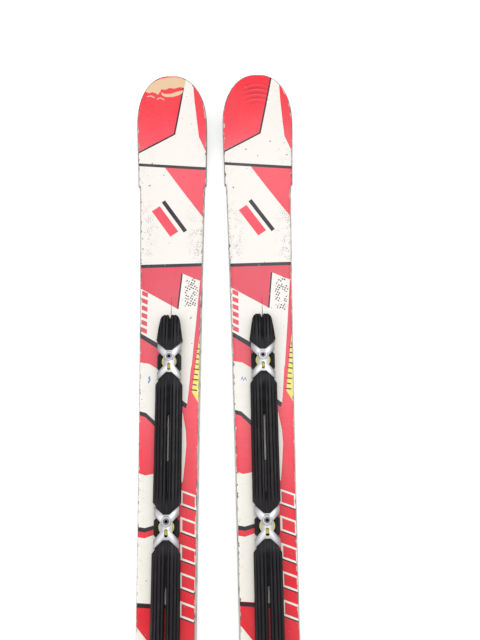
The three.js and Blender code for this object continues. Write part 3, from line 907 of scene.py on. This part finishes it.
for side in sides:
    makeTopsheet(side)
    makeBase(side)
    makeTipInsert(side)
    makeTailProtector(side)
    for flank in sides:
        makeSidewall(side, flank)
    kept = {
        "edge_left": filedSteel, "edge_right": filedSteel, "core": poplar,
        "lower_titanal": rolledAlloy, "upper_titanal": rolledAlloy,
    }
    for part, material in kept.items():
        data = frame["nodes"][f"{side}_{part}"].data
        data.materials.clear()
        data.materials.append(material)
print("laminates made")


# Floating decks, half section as (across, drop): a centre groove, three broad ribs and a rolled edge.
deck = {
    "section": [
        (0, 2.4), (1.1, 2.4), (1.9, 2.2), (2.3, 0.3), (4.0, 0.1), (4.3, 1.5), (5.4, 1.6), (5.8, 0.25),
        (8.4, 0.45), (8.7, 1.5), (9.7, 1.6), (10, 0.65), (12, 1.05), (12.3, 2.1), (13.1, 2.15), (13.4, 1.45),
        (15.2, 2.1), (16.2, 3.4),
    ],
    "low": 0.8, "high": 10.7, "halfWidth": 16.2, "slitHalf": 1.1, "crownTop": 0.1, "crownDrop": 2.6,
    # the outline of each kind of end as (across, back from the end)
    "neck": [(3.5, 0), (12, 8.4), (16.2, 14)],
    "free": [(0, 5), (1.5, 0), (7.6, 0), (10.2, 1.8), (12.2, 6.5), (15.8, 32)],
    "square": [(16.2, 0)],
    "endRows": (0, 2, 4, 6.5, 9, 12, 15, 18, 22, 26, 32), "rowPitch": 10, "endLength": 33,
    "ribsEnd": 7, "ribsFade": 12, "ribsLeast": 0.25, "fullShadeDepth": 0.9,
    "neckDip": 1.3, "neckDipLength": 16, "freeDip": 3.6, "freeDipLength": 20,
    "ledgeHalf": 12.9, "ledgeLength": 13, "ledgeTop": 8.45,
    "tongueHalf": 8.4, "tongueLength": 12, "tongueLow": 2.1, "tongueTop": 4.5,
}


def addBox(bm, low, high, bevel=0.3):
    # a small block inside a piece, its edges broken
    made = bmesh.ops.create_cube(bm, size=1)["verts"]
    for v in made:
        v.co = Vector([low[i] if v.co[i] < 0 else high[i] for i in range(3)])
    edges = list({e for v in made for e in v.link_edges})
    breakEdges(bm, edges, bevel)


def dropAt(section, x):
    for (x0, one), (x1, other) in zip(section, section[1:]):
        if x <= x1:
            return one + (other - one) * max(x - x0, 0) / (x1 - x0)
    return section[-1][1]


def makeDeck(side, node, start, end, head, foot, slit=None, screwAt=None):
    d, section = deck, deck["section"]
    half, middle = (end - start) / 2, (start + end) / 2
    across = [(-x, z) for x, z in reversed(section[1:])] + section

    def crown(x):
        return d["crownTop"] + d["crownDrop"] * (abs(x) / d["halfWidth"]) ** 3

    def ribbed(x, y):
        # the ribs run out towards a neck
        share = 1.0
        for kind, reach in ((head, half - y), (foot, half + y)):
            if kind == "neck":
                run = smoothStep((reach - d["ribsEnd"] - abs(x) * 0.5) / d["ribsFade"])
                share *= d["ribsLeast"] + (1 - d["ribsLeast"]) * run
        return share

    def place(y, column):
        x, drop = across[column]
        dip = 0.0
        for kind, reach in ((head, half - y), (foot, half + y)):
            if kind == "neck":
                dip += d["neckDip"] * (1 - smoothStep(reach / d["neckDipLength"]))
            if kind == "free":
                dip += d["freeDip"] * (1 - smoothStep(reach / d["freeDipLength"])) ** 2
        share = ribbed(x, y)
        return x, y, d["high"] - dip - crown(x) * (1 - share) - drop * share

    ends = [half - step for step in d["endRows"] if step < half]
    length = int(half // d["rowPitch"])
    between = [float(d["rowPitch"] * i) for i in range(-length, length + 1)]
    between = [y for y in between if abs(y) < half - d["endLength"]]
    bm = layGrid(sorted({*ends, *(-y for y in ends), *between}, reverse=True), len(across) - 1, place)
    right = [(x, half - reach) for x, reach in d[head]]
    right += [(x, reach - half) for x, reach in reversed(d[foot])]
    left = [(-x, y) for x, y in reversed(right) if x > 0]
    trim(bm, [p for i, p in enumerate(right + left) if p not in (right + left)[:i]])
    if slit:
        top, bottom = middle - slit[0], middle - slit[1]
        wide = d["slitHalf"]
        trim(bm, [(-wide, top), (wide, top), (wide, bottom), (-wide, bottom)], keepInside=False)
    # painted shade for the grooves: the deeper below the crown, the darker, fully dark at a set depth, less
    # where the ribs run out
    grooveShadeLayer = bm.verts.layers.float.new("groove")
    for v in bm.verts:
        depth = dropAt(section, abs(v.co.x)) - crown(v.co.x)
        v[grooveShadeLayer] = min(max(depth / d["fullShadeDepth"], 0), 1) * ribbed(v.co.x, v.co.y)
    closeBelow(bm, lambda x, y: (x, y, d["low"]))
    # a ledge under each neck, and a tongue that the bracket's screw holds
    for kind, way in ((head, 1), (foot, -1)):
        if kind == "neck":
            back, front = sorted((way * (half - d["ledgeLength"]), way * half))
            addBox(bm, (-d["ledgeHalf"], back, d["low"]), (d["ledgeHalf"], front, d["ledgeTop"]))
    if screwAt is not None:
        reach = middle - screwAt
        back, front = sorted((math.copysign(half - d["tongueLength"], reach), reach))
        addBox(bm, (-d["tongueHalf"], back, d["tongueLow"]), (d["tongueHalf"], front, d["tongueTop"]))
    makePiece(bm, f"{node}_ribbed", node, deckNylon, seatPlace(side, middle, half), 24)


# Housing, a moulded cup with a channel between two cheeks, each with a groove as (across, depth).
housing = {
    "seatGap": 0.3, "top": 8.5, "floor": 1.8, "channelHalf": 9.3, "halfWidth": 14.5, "halfLength": 11,
    "corner": 3, "groove": [(10.6, 0), (10.9, 0.5), (11.4, 0.5), (11.7, 0)], "rimIn": 0.5, "rimDrop": 0.6,
}


def makeHousing(side, place, seat):
    h = housing
    w, l, c, top = h["halfWidth"], h["halfLength"], h["corner"], h["top"]
    half = [(h["channelHalf"], h["floor"]), (h["channelHalf"], top)]
    half += [(x, top - depth) for x, depth in h["groove"]]
    half += [(w - h["rimIn"], top), (w, top - h["rimDrop"])]
    across = [(-x, z) for x, z in reversed(half)] + half
    rows = [l, l - 1, 4, 0, -4, 1 - l, -l]
    bm = layGrid(rows, len(across) - 1, lambda y, column: (across[column][0], y, across[column][1]))
    front = [(w, l - c), (w - c, l), (c - w, l), (-w, l - c)]
    trim(bm, front + [(-x, -y) for x, y in front])
    closeBelow(bm, lambda x, y: (x, y, h["seatGap"]))
    node = f"{side}_{place}_housing"
    makePiece(bm, f"{node}_moulded", node, plateNylon, seat)


# Damper puck, its notch as (across, along) from one side of the mouth to the middle.
puck = {
    "radius": 9, "offset": 0.6, "low": 4.8, "top": 8.5, "corners": 50, "softness": 0.5,
    "notch": [(2.8, 6.3), (2, 4.3), (0, 3.5)],
}


def makePuck(side, place, seat):
    # a round pad with a notch in its front, which shows beside the bracket and in its slot
    radius, notch, corners = puck["radius"], puck["notch"], puck["corners"]
    beside = math.asin(notch[0][0] / radius)
    turns = [math.pi / 2 + beside + (2 * math.pi - 2 * beside) * i / corners for i in range(corners + 1)]
    rim = [(radius * math.cos(a), puck["offset"] + radius * math.sin(a)) for a in turns]
    rim += notch + [(-x, y) for x, y in reversed(notch[:-1])]
    bm = bmesh.new()
    made = bmesh.ops.create_circle(bm, cap_ends=True, segments=len(rim), radius=radius)["verts"]
    for v, (x, y) in zip(made, rim):
        v.co = Vector((x, y, puck["top"]))
    closeBelow(bm, lambda x, y: (x, y, puck["low"]))
    roundRim(bm, puck["softness"], 3)
    node = f"{side}_{place}_puck"
    makePiece(bm, f"{node}_cast", node, elastomer, seat)


# Cross-shaped bracket: a quarter of its outline, its columns and its heights above the ski.
bracket = {
    "arm": [(7, 6), (14.5, 14.2), (14.5, 24), (3.5, 13.9)], "halfLength": 24, "rowPitch": 1.5,
    "columns": [0, 1.2, 2.4, 3.6, 5, 6.4, 7.8, 9.2, 10.6, 12, 13.2, 14, 14.5],
    "low": 8.8, "top": 12.3, "leastThick": 0.8,
    "roof": 0.0135,  # how fast the roof falls away, per millimetre across squared
    "spineFrom": 4.8, "spineHalf": 4.5, "spineHeight": 0.5,
    "slotReach": -6.5, "slotLength": 9.4, "slotWidth": 4.3,
    "flangeFrom": 13.2, "flangeStart": 14.6, "flangeEnd": 21.4, "flangeLow": 3.9,
    "screwReach": 6.3, "bore": 3.55, "bossRadius": 5.25, "bossTop": 12.8, "bossFoot": 1.4,
    "outerBreak": 0.25, "innerBreak": 0.15, "rimBreak": 0.3,
}
# painted light and shade for where the light falls: less bright far from its middle, off the spines, round
# the boss and on the flanks
paintedShine = {
    "middle": 6, "middleFade": 8, "middleLoss": 0.7, "spine": 1.5, "spineFade": 3.5, "spineLoss": 0.55,
    "onBoss": 0.55, "roundBoss": 0.35, "roundBossReach": 1.2, "flank": 0.1, "flankBelow": 0.5,
}


def makeBracket(side, place, seat):
    b = bracket
    across = [-x for x in reversed(b["columns"][1:])] + b["columns"]
    steps = round(2 * b["halfLength"] / b["rowPitch"])
    rows = [b["halfLength"] - b["rowPitch"] * i for i in range(steps + 1)]

    def fromSpine(x, y):
        # each arm has a spine along its middle, from the waist out to the flange
        return abs(abs(x) - max(0, abs(y) - b["spineFrom"]))

    def roof(x, y):
        spine = b["spineHeight"] * smoothStep(1 - fromSpine(x, y) / b["spineHalf"])
        return b["top"] - b["spineHeight"] - b["roof"] * x * x + spine

    bm = layGrid(rows, len(across) - 1, lambda y, column: (across[column], y, roof(across[column], y)))
    quarter = b["arm"]
    upper = quarter + [(-x, y) for x, y in reversed(quarter)]
    trim(bm, upper + [(x, -y) for x, y in reversed(upper)])
    reach, straight, r = b["slotReach"], (b["slotLength"] - b["slotWidth"]) / 2, b["slotWidth"] / 2
    turns = [math.pi * i / 6 for i in range(7)]
    slot = [(r * math.cos(a), reach + straight + r * math.sin(a)) for a in turns]
    slot += [(-x, 2 * reach - y) for x, y in slot]
    trim(bm, slot, keepInside=False)
    trim(bm, circle(0, b["screwReach"], b["bore"], 20), keepInside=False)

    def under(x, y):
        low = b["low"]
        if abs(x) > b["flangeFrom"] + 0.1 and b["flangeStart"] < abs(y) < b["flangeEnd"]:
            low = b["flangeLow"]
        return x, y, min(low, roof(x, y) - b["leastThick"])

    closeBelow(bm, under)
    roundRim(bm, b["rimBreak"])
    # the boss round the screw, a low ring with broken edges
    low, high, bore, rim = b["top"] - b["bossFoot"], b["bossTop"], b["bore"], b["bossRadius"]
    inner, outer = b["innerBreak"], b["outerBreak"]
    ring = [(bore, low), (bore, high - inner), (bore + inner, high)]
    ring += [(rim - outer, high), (rim, high - outer), (rim, low)]
    rings = [addRing(bm, radius, z, b["screwReach"]) for radius, z in ring]
    for one, other in zip(rings, rings[1:] + rings[:1]):
        bmesh.ops.bridge_loops(bm, edges=one + other)
    bmesh.ops.recalc_face_normals(bm, faces=bm.faces[:])
    # painted highlight on the roof's middle and spines, painted shade towards the arms' ends, round the boss
    # and on the walls
    paintedLightLayer = bm.verts.layers.float.new("paintedLight")
    for v in bm.verts:
        x, y, z = v.co
        r, fromBoss = paintedShine, math.hypot(x, y - b["screwReach"]) - b["bossRadius"]
        shine = 1 - r["middleLoss"] * smoothStep((abs(x) - r["middle"]) / r["middleFade"])
        shine *= 1 - r["spineLoss"] * smoothStep((fromSpine(x, y) - r["spine"]) / r["spineFade"])
        if fromBoss < 0.05 and z > b["top"]:
            shine = r["onBoss"]
        elif fromBoss < r["roundBossReach"]:
            shine *= r["roundBoss"]
        v[paintedLightLayer] = shine if z > roof(x, y) - r["flankBelow"] else r["flank"]
    node = f"{side}_{place}_x_bracket"
    makePiece(bm, f"{node}_cast", node, satinAluminium, seat, 28)


screw = {
    "belowBoss": 0.1, "headRadius": 3.25, "headHeight": 1.9, "headBreak": 0.3,
    "socketAcross": 3.6, "socketDepth": 1.3, "socketBreak": 0.25, "shankRadius": 2.5, "shankSides": 20,
    "shadeReach": 1.2, "shadeBelow": 0.2,  # past the socket's half width, as a share, and below the head's top
}


def makeScrew(side, place, seat):
    # a round head with a hexagon socket, then the shank below it
    top, rim, socket = bracket["bossTop"] - screw["belowBoss"], screw["headRadius"], screw["socketAcross"] / 2
    broken, sunk, foot = screw["headBreak"], screw["socketBreak"], top - screw["headHeight"]
    bm = bmesh.new()
    rings = [addRing(bm, radius, z) for radius, z in ((rim, foot), (rim, top - broken), (rim - broken, top))]
    for radius, z in ((socket + sunk, top), (socket, top - sunk), (socket, top - screw["socketDepth"])):
        rings.append(addRing(bm, radius, z, sixSided=True))
    for one, other in zip(rings, rings[1:]):
        bmesh.ops.bridge_loops(bm, edges=one + other)
    for end in (rings[0], rings[-1]):
        bmesh.ops.contextual_create(bm, geom=end)
    bmesh.ops.recalc_face_normals(bm, faces=bm.faces[:])
    # painted shade, black in the hexagon socket below its top and on the head's outer wall, where it meets
    # the boss
    paintedShadeLayer = bm.verts.layers.float.new("dirt")
    for v in bm.verts:
        away = v.co.xy.length
        inSocket = away < socket * screw["shadeReach"] and v.co.z < top - screw["shadeBelow"]
        v[paintedShadeLayer] = 1.0 if inSocket or away > rim - 0.05 else 0.0
    shankTop, shankLow = foot + 0.05, deck["tongueLow"]
    radius, corners = screw["shankRadius"], screw["shankSides"]
    shank = bmesh.ops.create_cone(
        bm, cap_ends=True, segments=corners, radius1=radius, radius2=radius, depth=shankTop - shankLow
    )["verts"]
    bmesh.ops.translate(bm, verts=shank, vec=(0, 0, (shankTop + shankLow) / 2))
    bmesh.ops.translate(bm, verts=bm.verts[:], vec=(0, bracket["screwReach"], 0))
    node = f"{side}_{place}_bracket_screw"
    makePiece(bm, f"{node}_plated", node, zincSteel, seat)


# Binding plates, half section as (across, drop), with four recessed cross-head screws each.
plates = {
    "toe": (742, 912), "heel": (1075, 1265), "gap": 0.3, "rowPitch": 10, "endDrop": 1.3,
    "section": [
        (0, 0), (9, 0), (9.4, 0.9), (10.8, 0.9), (11.2, 0), (22.6, 0), (23, 0.9), (24.4, 0.9), (24.8, 0),
        (28.6, 0.1), (30, 1.5),
    ],
    "screwsAcross": 17, "screwsFromEnd": 24, "recess": 5.2, "recessDepth": 1.6,
    "headRadius": 4.3, "headTaper": 0.5, "headHeight": 1.0, "headRise": 0.56,
    "crossBar": (4.6, 0.9, 0.12), "crossRise": 1.1,
}


def makePlateScrews(spots, floor):
    # cone heads on the floor of each recess, with a raised cross
    p, bm = plates, bmesh.new()
    wide, narrow = p["headRadius"], p["headRadius"] - p["headTaper"]
    for x, t in spots:
        made = bmesh.ops.create_cone(
            bm, cap_ends=True, segments=32, radius1=wide, radius2=narrow, depth=p["headHeight"]
        )["verts"]
        bmesh.ops.translate(bm, verts=made, vec=(x, -t, floor + p["headRise"]))
        for turn in (0, math.pi / 2):
            bar = bmesh.ops.create_cube(bm, size=1)["verts"]
            bmesh.ops.scale(bm, verts=bar, vec=p["crossBar"])
            bmesh.ops.rotate(bm, verts=bar, matrix=Matrix.Rotation(turn, 3, "Z"))
            bmesh.ops.translate(bm, verts=bar, vec=(x, -t, floor + p["crossRise"]))
    return bm


def makePlate(side, which):
    node = f"{side}_{which}_plate"
    p, half = plates, plates["section"]
    start, end = p[which]
    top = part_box(node)[1].z / mm
    floor = top - p["recessDepth"]
    across = [(-x, z) for x, z in reversed(half[1:])] + half
    between = [start + p["rowPitch"] * i for i in range(1, int((end - start) / p["rowPitch"]))]

    def place(t, column):
        x, drop = across[column]
        rounded = p["endDrop"] * max(0, 1 - min(t - start, end - t))
        return x, -t, top - max(drop, rounded)

    bm = layGrid([start, start + 1, *between, end - 1, end], len(across) - 1, place)
    rows = (start + p["screwsFromEnd"], end - p["screwsFromEnd"])
    spots = [(x, t) for x in (-p["screwsAcross"], p["screwsAcross"]) for t in rows]
    for x, t in spots:
        rim = circle(x, -t, p["recess"], 20)
        cutOutline(bm, rim)
        sunk = [f for f in bm.faces if holds(rim, *f.calc_center_median().xy)]
        made = bmesh.ops.extrude_face_region(bm, geom=sunk)["geom"]
        for v in made:
            if isinstance(v, bmesh.types.BMVert):
                v.co.z = floor
        bmesh.ops.delete(bm, geom=[f for f in sunk if f.is_valid], context="FACES_ONLY")
    closeBelow(bm, lambda x, y: (x, y, level(-y, 5) + p["gap"]))
    piece = makePiece(bm, f"{node}_grooved", node, plateNylon, skiPlace(side))
    heads = makePlateScrews(spots, floor)
    heads.transform(skiPlace(side))
    mesh = bpy.data.meshes.new(f"{node}_screws")
    heads.to_mesh(mesh)
    heads.free()
    mesh.materials.append(zincSteel)
    screws = bpy.data.objects.new(f"{node}_screws", mesh)
    bpy.context.collection.objects.link(screws)
    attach(screws, piece["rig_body"])


# From the tip: each bracket's middle, and each deck's start, end, two kinds of end, slit and screw.
brackets = {"first": 387, "second": 584.5, "rear": 1455}
decks = {
    "front_deck_nose": (325, 372.5, "free", "neck", None, brackets["first"] - bracket["screwReach"]),
    "front_deck_mid": (401.5, 570, "neck", "neck", (451.5, 545), brackets["second"] - bracket["screwReach"]),
    "front_deck_root": (599, 740, "neck", "square", (649, 715), None),
    "rear_deck_root": (1267, 1440.5, "square", "neck", (1317, 1415.5), None),
    "rear_deck_tail": (1469.5, 1520, "neck", "free", None, brackets["rear"] + bracket["screwReach"]),
}

for side in sides:
    for part, layout in decks.items():
        makeDeck(side, f"{side}_{part}", *layout)
    for place, at in brackets.items():
        seat = seatPlace(side, at, bracket["halfLength"], turned=place == "rear")
        makeHousing(side, place, seat)
        makePuck(side, place, seat)
        makeBracket(side, place, seat)
        makeScrew(side, place, seat)
    makePlate(side, "toe")
    makePlate(side, "heel")
print("decks, brackets and plates made")


room = {
    "floorSize": 12, "floorDrop": 0.5, "floor": "#fbfbfa", "glow": 0.35,
    "sky": "#ffffff", "skyStrength": 0.86,
}


def makeRoom():
    bm = bmesh.new()
    bmesh.ops.create_grid(bm, x_segments=1, y_segments=1, size=room["floorSize"] / 2)
    mesh = bpy.data.meshes.new("floor")
    bm.to_mesh(mesh)
    bm.free()
    material, tree, shader, at = newMaterial("paintedFloor", room["floor"], 0.9)
    mottled = addNode(tree, "TexNoise", {"Vector": at, "Scale": perMm(400)})
    finishShader(tree, shader, layColours(tree, "#fdfdfc", (mottled, room["floor"])))
    shader.inputs["Emission Color"].default_value = linear(room["floor"])
    shader.inputs["Emission Strength"].default_value = room["glow"]
    mesh.materials.append(material)
    floor = bpy.data.objects.new("floor", mesh)
    floor.location.z = cadBox[0].z - room["floorDrop"] * mm
    bpy.context.collection.objects.link(floor)
    world = bpy.data.worlds.new("paleRoom")
    world.use_nodes = True
    sky = world.node_tree.nodes["Background"]
    sky.inputs["Color"].default_value = linear(room["sky"])
    sky.inputs["Strength"].default_value = room["skyStrength"]
    bpy.context.scene.world = world
    bpy.context.scene.view_settings.view_transform = "Standard"


lamps = [
    {"name": "overhead", "at": (0.3, 1.3, 2.1), "aim": (0, 0.5, 0), "size": 1.3, "power": 6.5},
    {"name": "side", "at": (-1.8, -0.4, 1.9), "aim": (0, 0.3, 0), "size": 1.6, "power": 8},
]


def makeLamps():
    for lamp in lamps:
        data = bpy.data.lights.new(lamp["name"], "AREA")
        data.shape = "DISK"
        data.size = lamp["size"]
        data.energy = lamp["power"]
        light = bpy.data.objects.new(lamp["name"], data)
        light.location = lamp["at"]
        towards = Vector(lamp["aim"]) - Vector(lamp["at"])
        light.rotation_euler = towards.to_track_quat("-Z", "Y").to_euler()
        bpy.context.collection.objects.link(light)


makeRoom()
makeLamps()
print("room and lamps made")

bpy.context.view_layer.update()
